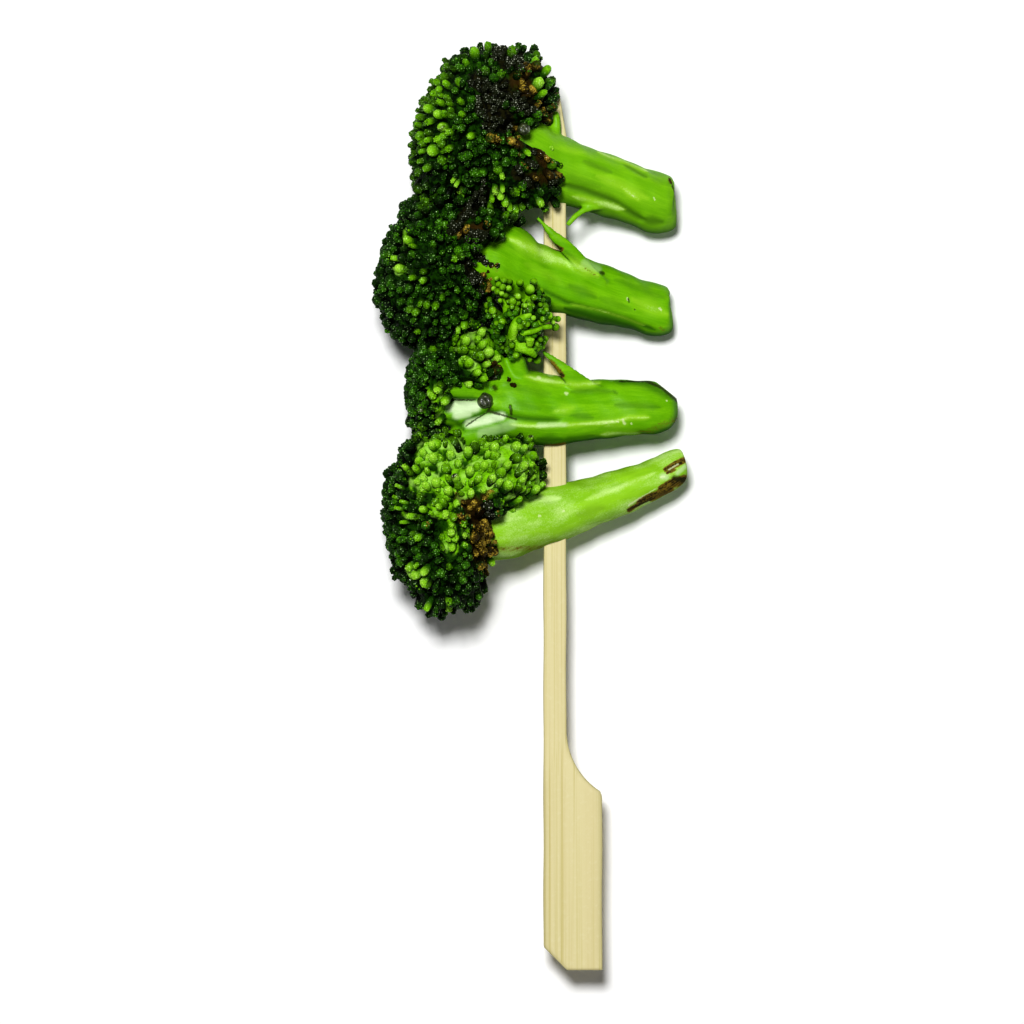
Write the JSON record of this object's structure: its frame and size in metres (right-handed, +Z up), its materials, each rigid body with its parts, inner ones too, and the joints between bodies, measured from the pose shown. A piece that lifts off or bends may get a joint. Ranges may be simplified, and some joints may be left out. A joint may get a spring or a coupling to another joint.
{
  "type": "baby broccoli bunch",
  "caption": "Grilled baby broccoli florets threaded side by side through their stems on a flat bamboo skewer with a broad grip, heads to one side.",
  "frame": {"origin": "on the surface that the bunch lies on, below the middle of its bounding box", "axes": "+Y along the skewer from its grip to its tip, +X towards the cut ends of the stems, +Z up"},
  "size_m": [0.0634, 0.1866, 0.031],
  "materials": {
    "bamboo": "plain bamboo with fine straight fibres",
    "stem": "moist, lightly oiled stem skin, paler at the cut end",
    "buds": "oiled bud clusters, charred brown and black in patches"
  },
  "bodies": {
    "root": {"skewer": "bamboo", "stalk_1": "stem", "head_1": "buds", "stalk_2": "stem", "head_2": "buds", "stalk_3": "stem", "head_3": "buds", "stalk_4": "stem", "head_4": "buds"}
  },
  "joints": []
}
